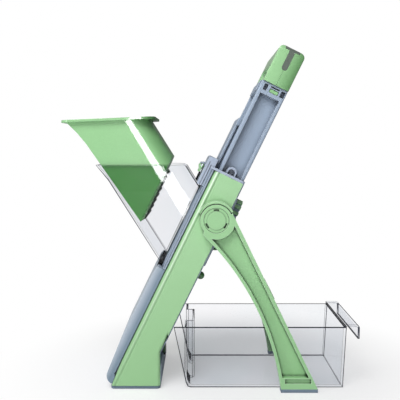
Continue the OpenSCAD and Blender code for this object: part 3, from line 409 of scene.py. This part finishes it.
# writes the mesh as an object with its materials, in place of the solid
def placePiece(work, node, finish):
    mesh = bpy.data.meshes.new(node + "Finished")
    for face in work.faces:
        face.smooth = True
    work.to_mesh(mesh)
    work.free()
    mesh.set_sharp_from_angle(angle=math.radians(finish["smooth"]))
    for polygon in mesh.polygons:
        if polygon.area > finish["wideFace"] * mm ** 2:
            for loop in polygon.loop_indices:
                mesh.edges[mesh.loops[loop].edge_index].use_edge_sharp = True
    for material in finish["materials"]:
        mesh.materials.append(material)
    piece = bpy.data.objects.new(mesh.name, mesh)
    scene.collection.objects.link(piece)
    weights = piece.modifiers.new("evenNormals", "WEIGHTED_NORMAL")
    weights.keep_sharp = True
    weights.weight = finish["evenness"]
    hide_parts(node)
    return piece


# makes the pieces of a group: merged, edges rounded, materials given, carried by their body
def finishGroup(group):
    for own in group.values():
        finish = {**usualFinish, **own}
        for node in own["nodes"]:
            piece = placePiece(roundedCopy(node, finish), node, finish)
            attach(piece, bodyOfNode[node])


# dark tones for painted shade in corners, gaps and dips
greenPaintedShade, slatePaintedShade = (20, 58, 18), (44, 52, 66)
greenBody = mouldedPlastic("greenBody", {
    "tone": (163, 207, 158), "shade": (157, 202, 151), "edge": (230, 248, 227), "paintedShade": greenPaintedShade,
    "rough": 0.44, "grain": 0.00035, "grainDepth": 0.00007, "wave": 0.0004,
    # painted shade: the side panels darken towards the bottom, as the light falls off
    "paintedShading": {"along": (0, 0, 1), "full": 0.0, "none": 230.0, "tone": (146, 191, 140)},
    # the ridge's crest has a painted highlight, and the dip beside it painted shade
    "ridge": {"crest": -24.0, "crestHalf": 1.7, "valley": -21.2, "valleyHalf": 1.6, "height": 0.0006,
              "crestHighlight": 0.95, "valleyShade": 0.2}})
greenLeg = mouldedPlastic("greenLeg", {
    "tone": (152, 199, 147), "shade": (147, 194, 141), "edge": (222, 244, 218), "paintedShade": greenPaintedShade,
    "rough": 0.4, "grain": 0.00035, "grainDepth": 0.00006, "wave": 0.0004, "edgeHighlight": 0.9,
    "reach": 0.004, "closedAt": 0.38})
greenGrip = mouldedPlastic("greenGrip", {
    "tone": (148, 198, 142), "shade": (143, 193, 137), "edge": (188, 222, 182), "paintedShade": greenPaintedShade,
    "rough": 0.3, "grain": 0.0004, "grainDepth": 0.00001, "edgeHighlight": 0.3, "coat": 0.7, "coatRough": 0.12,
    "reach": 0.004})
greenPusher = mouldedPlastic("greenPusher", {
    "tone": (148, 199, 142), "shade": (143, 196, 138), "edge": (176, 216, 172), "paintedShade": (56, 132, 48),
    "rough": 0.36, "grain": 0.0004, "grainDepth": 0.00001, "edgeHighlight": 0.4,
    "coat": 1.0, "coatRough": 0.02, "coatFront": True, "reach": 0.005, "openAt": 0.7,
    # painted shade: the part of the pusher past the chute's rim takes a darker tone
    "paintedShading": {"along": (0.824, 0, 0.566), "full": 184.0, "none": 162.0, "tone": (78, 130, 72)}})
darkTeeth = mouldedPlastic("darkTeeth", {
    "tone": (34, 52, 34), "shade": (28, 44, 28), "edge": (52, 78, 52), "paintedShade": (16, 26, 16),
    "rough": 0.5, "grain": 0.0004, "grainDepth": 0.00003})
darkGreenKnob = mouldedPlastic("darkGreenKnob", {
    "tone": (52, 98, 52), "shade": (44, 88, 45), "edge": (96, 146, 92), "paintedShade": (18, 42, 18),
    "rough": 0.36, "grain": 0.0004, "grainDepth": 0.00003, "coat": 0.4})
slateFrame = mouldedPlastic("slateFrame", {
    "tone": (146, 160, 178), "shade": (139, 153, 172), "edge": (196, 206, 220), "paintedShade": slatePaintedShade,
    "rough": 0.38, "grain": 0.0004, "grainDepth": 0.00003, "wave": 0.0003})
slateCover = mouldedPlastic("slateCover", {
    "tone": (122, 140, 157), "shade": (115, 134, 151), "edge": (170, 184, 200), "paintedShade": slatePaintedShade,
    "rough": 0.42, "grain": 0.0004, "grainDepth": 0.00004, "wave": 0.0003, "edgeHighlight": 0.3,
    # painted light: the cover turns lighter towards its front edge
    "paintedShading": {"along": tuple(behind), "full": -47.0, "none": -31.0, "tone": (222, 229, 237)}})
slateCarriage = mouldedPlastic("slateCarriage", {
    "tone": (156, 171, 189), "shade": (150, 165, 184), "edge": (212, 219, 230), "paintedShade": slatePaintedShade,
    "rough": 0.34, "grain": 0.0004, "grainDepth": 0.00003, "edgeHighlight": 0.7, "reach": 0.008, "openAt": 0.95})
lightCollar = mouldedPlastic("lightCollar", {
    "tone": (166, 178, 196), "shade": (158, 170, 189), "edge": (214, 221, 232), "paintedShade": slatePaintedShade,
    "rough": 0.36, "grain": 0.0004, "grainDepth": 0.00003, "edgeHighlight": 0.7, "reach": 0.004})
greenHandle = mouldedPlastic("greenHandle", {
    "tone": (152, 200, 146), "shade": (147, 196, 141), "edge": (188, 222, 182), "paintedShade": greenPaintedShade,
    "rough": 0.32, "grain": 0.0004, "grainDepth": 0.00001, "edgeHighlight": 0.1, "coat": 0.7, "coatRough": 0.14,
    "reach": 0.003,
    "crown": {"middle": -9.5, "half": 15.0, "height": 0.0016},
    # painted shade: the handle darkens towards its rear side
    "paintedShading": {"along": tuple(behind), "full": 7.0, "none": -12.0, "tone": (98, 148, 92)}})
softInlay = mouldedPlastic("softInlay", {
    "tone": (97, 107, 98), "shade": (90, 100, 92), "edge": (124, 132, 126), "paintedShade": (40, 46, 42),
    "rough": 0.55, "grain": 0.0005, "grainDepth": 0.0001, "specular": 0.35, "reach": 0.002})
rubberFeet = mouldedPlastic("rubberFeet", {
    "tone": (124, 140, 156), "shade": (114, 130, 147), "edge": (150, 164, 178), "paintedShade": (70, 80, 94),
    "rough": 0.75, "grain": 0.0006, "grainDepth": 0.00015, "specular": 0.2})
blackStop = mouldedPlastic("blackStop", {
    "tone": (34, 36, 40), "shade": (28, 30, 34), "edge": (62, 66, 72), "paintedShade": (14, 15, 18),
    "rough": 0.65, "grain": 0.0005, "grainDepth": 0.0001, "specular": 0.25})
bladeSteel = brushedSteel("bladeSteel", {
    "tone": (205, 207, 212), "shade": (180, 183, 190), "rough": 0.26, "smoother": 0.06, "rougher": 0.08,
    "lineDepth": 0.00001, "turn": (0, -lean, 0), "stretch": (4000, 60, 900)})
wireSteel = brushedSteel("wireSteel", {
    "tone": (190, 192, 198), "shade": (165, 168, 176), "rough": 0.22, "smoother": 0.06, "rougher": 0.08,
    "lineDepth": 0.00001, "turn": (0, 0, 0), "stretch": (900, 900, 900)})
clearWall = clearPlastic("clearWall", {
    "tone": (251, 251, 252), "haze": (249, 250, 251), "glancing": (248, 249, 252), "smoke": 0.1,
    "hazeScale": 14.0, "waveScale": 22.0, "waveDepth": 0.000004,
    "rough": 0.02, "ior": 1.45, "shine": 0.32, "most": 0.05})     # most caps the share that is mirrored
clearEdge = clearPlastic("clearEdge", {
    "tone": (44, 49, 66), "haze": (36, 40, 56), "glancing": (18, 20, 28), "smoke": 0.4,
    "hazeScale": 14.0, "waveScale": 22.0, "waveDepth": 0.000004,
    "rough": 0.08, "ior": 1.45, "shine": 0.8, "most": 0.2})
print("materials made")


bodySettings = {
    "sidePanels": {"nodes": ["right_side_panel", "left_side_panel"], "edge": 0.5, "materials": [greenBody]},
    "frames": {"nodes": ["main_frame", "rear_frame"], "edge": 0.35, "materials": [slateFrame]},
    "cover": {"nodes": ["front_cover"], "edge": 0.35, "materials": [slateCover]},
    "collar": {"nodes": ["top_collar"], "edge": 0.35, "materials": [lightCollar]},
    "trayStop": {"nodes": ["tray_stop"], "edge": 0.35, "materials": [darkGreenKnob]},
    "trayStopPad": {"nodes": ["tray_stop_pad"], "edge": 0.35, "materials": [blackStop]},
    "base": {"nodes": ["base_block"], "edge": 0.5, "materials": [slateFrame]},
    "foot": {"nodes": ["base_foot_pad"], "edge": 0.5, "materials": [rubberFeet]},
}
finishGroup(bodySettings)
print("body finished")


standSettings = {
    "legs": {"nodes": ["right_leg", "left_leg", "leg_cross_bar"], "edge": 0.6, "segments": 3,
             "materials": [greenLeg]},
    "axles": {"nodes": ["right_leg_axle", "left_leg_axle"], "edge": 0.4, "materials": [wireSteel]},
    "pivotCaps": {"nodes": ["right_pivot_cap", "left_pivot_cap"], "edge": 0.4, "materials": [greenLeg]},
    "legPads": {"nodes": ["right_leg_pad", "left_leg_pad"], "edge": 0.5, "materials": [rubberFeet]},
}
finishGroup(standSettings)
print("stand finished")


carriageSettings = {
    "rails": {"nodes": ["right_rail", "left_rail", "carriage_bridge"], "materials": [slateCarriage]},
    "bladeCarrier": {"nodes": ["blade_carrier", "slicing_plate"], "materials": [slateCarriage]},
    "handleShells": {"nodes": ["handle_front_shell", "handle_rear_shell"], "edge": 0.6, "segments": 3,
                     "materials": [greenHandle]},
    "handleInlay": {"nodes": ["handle_inlay"], "edge": 0.4, "materials": [softInlay]},
    "handleCatches": {"nodes": ["handle_catches"], "materials": [greenGrip]},
}
finishGroup(carriageSettings)
print("carriage and handle finished")


steelSettings = {
    "blades": {"nodes": ["main_blade", "strip_blades"], "edge": 0, "smooth": 25, "materials": [bladeSteel]},
    "screwsAndPins": {"nodes": ["blade_screws", "latch_pin", "spring_pins"], "edge": 0.12, "segments": 1,
                      "materials": [wireSteel]},
}
finishGroup(steelSettings)

# the springs hang from the base and stretch with the carriage; the ends are in mm up the slope
springSettings = {**usualFinish, "smooth": 60, "materials": [wireSteel],
                  "fixedEnd": 253.0, "movingEnd": 154.0}
for node in ("right_return_spring", "left_return_spring"):
    spring = placePiece(mergedCopy(node, springSettings), node, springSettings)
    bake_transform(spring, "base", "carriage", start=upSlope * springSettings["fixedEnd"] * mm,
             end=upSlope * springSettings["movingEnd"] * mm)
print("blades, springs and pins finished")


dialSettings = {
    "ramp": {"nodes": ["ramp_plate"], "materials": [greenGrip]},
    "dial": {"nodes": ["thickness_dial"], "edge": 0.4, "materials": [slateFrame]},
    "dialGrips": {"nodes": ["dial_grips"], "edge": 0.5, "materials": [greenGrip]},
    "dialShaft": {"nodes": ["dial_shaft"], "materials": [wireSteel]},
    "cutKnob": {"nodes": ["cut_style_knob"], "edge": 0.5, "materials": [darkGreenKnob]},
    "stripFrame": {"nodes": ["strip_blade_frame"], "edge": 0.25, "materials": [slateFrame]},
    "lockKnob": {"nodes": ["lock_knob"], "edge": 0.4, "materials": [darkGreenKnob]},
}
finishGroup(dialSettings)
print("dial, knobs and ramp finished")


# thinFace is the widest face that counts as a rim, and outline a side wall's dark border, both in mm
feedSettings = {
    "chute": {"nodes": ["chute"], "thinFace": 2.6, "outline": 1.2, "smooth": 20,
              "materials": [clearWall, clearEdge]},
    "latch": {"nodes": ["chute_latch"], "materials": [greenGrip]},
    "pusher": {"nodes": ["pusher_shell"], "smooth": 12, "materials": [greenPusher]},
}
finishGroup(feedSettings)

# the teeth are dark from a cut just above the sheet that they stand on
teethSettings = {**usualFinish, "edge": 0.15, "segments": 1, "sheet": 1.8,
                 "materials": [greenPusher, darkTeeth]}
teeth = roundedCopy("pusher_teeth", teethSettings)
cutDepth = min(v.co.dot(behind) for v in teeth.verts) + teethSettings["sheet"] * mm
bmesh.ops.bisect_plane(teeth, geom=teeth.verts[:] + teeth.edges[:] + teeth.faces[:], dist=0.001 * mm,
                       plane_co=behind * cutDepth, plane_no=behind)
for face in teeth.faces:
    face.material_index = 1 if face.calc_center_median().dot(behind) > cutDepth else 0
teethPiece = placePiece(teeth, "pusher_teeth", teethSettings)
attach(teethPiece, bodyOfNode["pusher_teeth"])

traySettings = {
    "tray": {"nodes": ["tray"], "thinFace": 2.9, "outline": 1.2, "smooth": 20,
             "materials": [clearWall, clearEdge]},
}
finishGroup(traySettings)
print("chute, pusher and tray finished")


def areaLamp(name, power, width, height, place, turn):
    lamp = bpy.data.lights.new(name, "AREA")
    lamp.energy = power
    lamp.shape = "RECTANGLE"
    lamp.size = width
    lamp.size_y = height
    holder = bpy.data.objects.new(name, lamp)
    holder.location = place
    holder.rotation_euler = turn
    scene.collection.objects.link(holder)


# lamp that shines at a point
def aimedLamp(name, lamp):
    turn = (Vector(lamp["aim"]) - Vector(lamp["place"])).to_track_quat("-Z", "Y").to_euler()
    areaLamp(name, lamp["power"], lamp["width"], lamp["height"], lamp["place"], turn)


keySettings = {"power": 7.2, "width": 0.5, "height": 0.5, "place": (-0.14, -0.62, 1.0),
               "aim": (0.11, 0, 0.18)}
aimedLamp("keyLamp", keySettings)
sideSettings = {"power": 3.4, "width": 0.16, "height": 1.1, "place": (-1.1, -0.75, 0.42),
                "aim": (0.11, 0, 0.18)}
aimedLamp("sideLamp", sideSettings)

# narrow slanting light whose mirror image runs down the pusher and the chute
lineSettings = {
    "glow": 20.0,
    "width": 0.036,
    "topX": -0.0764, "topZ": 0.3310,
    "lowX": 0.0520, "lowZ": 0.1156,
    "depth": -0.712,
}
lineRight = lineSettings["topX"] - lineSettings["lowX"]
lineUp = lineSettings["topZ"] - lineSettings["lowZ"]
lineLong = math.hypot(lineRight, lineUp)
linePlace = ((lineSettings["topX"] + lineSettings["lowX"]) / 2, lineSettings["depth"],
             (lineSettings["topZ"] + lineSettings["lowZ"]) / 2)
lineTurn = Matrix.Rotation(math.atan2(lineRight, lineUp), 4, "Y") @ Matrix.Rotation(math.radians(90), 4, "X")
areaLamp("lineLamp", lineSettings["glow"] * math.pi * lineSettings["width"] * lineLong, lineSettings["width"],
         lineLong, linePlace, lineTurn.to_euler())
print("lamps set")


# 1 for the rays that see the white of the studio
def whiteRays(tree):
    path = addNode(tree, "ShaderNodeLightPath")
    return calc(tree, "ADD", path.outputs["Is Camera Ray"], path.outputs["Is Transmission Ray"], clamped=True)


# fill light from all round; left and up say how much stronger it is there
airSettings = {"level": 0.27, "left": 0.24, "up": 0.12}
world = bpy.data.worlds.new("studio")
world.use_nodes = True
scene.world = world
tree = world.node_tree
tree.nodes.clear()
compass = addNode(tree, "ShaderNodeTexCoord").outputs["Generated"]
leaning = distanceAlong(tree, compass, (-airSettings["left"], 0, airSettings["up"]))
fill = calc(tree, "ADD", leaning, airSettings["level"])
level = addNode(tree, "ShaderNodeMix", {"Factor": whiteRays(tree), "A": fill, "B": 1.0},
                data_type="FLOAT").outputs["Result"]
air = addNode(tree, "ShaderNodeBackground", {"Color": (1, 1, 1, 1), "Strength": level})
studioOut = addNode(tree, "ShaderNodeOutputWorld")
tree.links.new(air.outputs["Background"], studioOut.inputs["Surface"])

floorSettings = {
    "size": 6.0,
    "drop": 0.0002,             # below the feet
    "tone": (252, 252, 254),
    "middle": (0.11, 0, 0),
    "nearRadius": 0.1, "farRadius": 0.3,
    "nearGlow": 0.4, "farGlow": 1.0,        # how much of the floor's white is its own
}
floorMaterial, tree, output = newMaterial("paleFloor")
matte = addNode(tree, "ShaderNodeBsdfDiffuse", {"Color": tone(*floorSettings["tone"])})
glow = addNode(tree, "ShaderNodeEmission", {"Color": (1, 1, 1, 1), "Strength": 1.0})
away = addNode(tree, "ShaderNodeVectorMath", {0: objectPlace(tree), 1: floorSettings["middle"]},
               operation="DISTANCE").outputs["Value"]
glowHere = rescale(tree, away, floorSettings["nearRadius"], floorSettings["farRadius"],
                   floorSettings["nearGlow"], floorSettings["farGlow"], soft=True)
mixed = addNode(tree, "ShaderNodeMixShader", {0: calc(tree, "MULTIPLY", whiteRays(tree), glowHere),
                                              1: matte.outputs["BSDF"], 2: glow.outputs["Emission"]})
tree.links.new(mixed.outputs["Shader"], output.inputs["Surface"])

floorWork = bmesh.new()
bmesh.ops.create_grid(floorWork, x_segments=1, y_segments=1, size=floorSettings["size"] / 2)
bmesh.ops.translate(floorWork, verts=floorWork.verts, vec=(0, 0, -floorSettings["drop"]))
floorMesh = bpy.data.meshes.new("floor")
floorWork.to_mesh(floorMesh)
floorWork.free()
floorMesh.materials.append(floorMaterial)
floor = bpy.data.objects.new("floor", floorMesh)
scene.collection.objects.link(floor)
scene.view_settings.view_transform = "Standard"
print("stage and lights set")
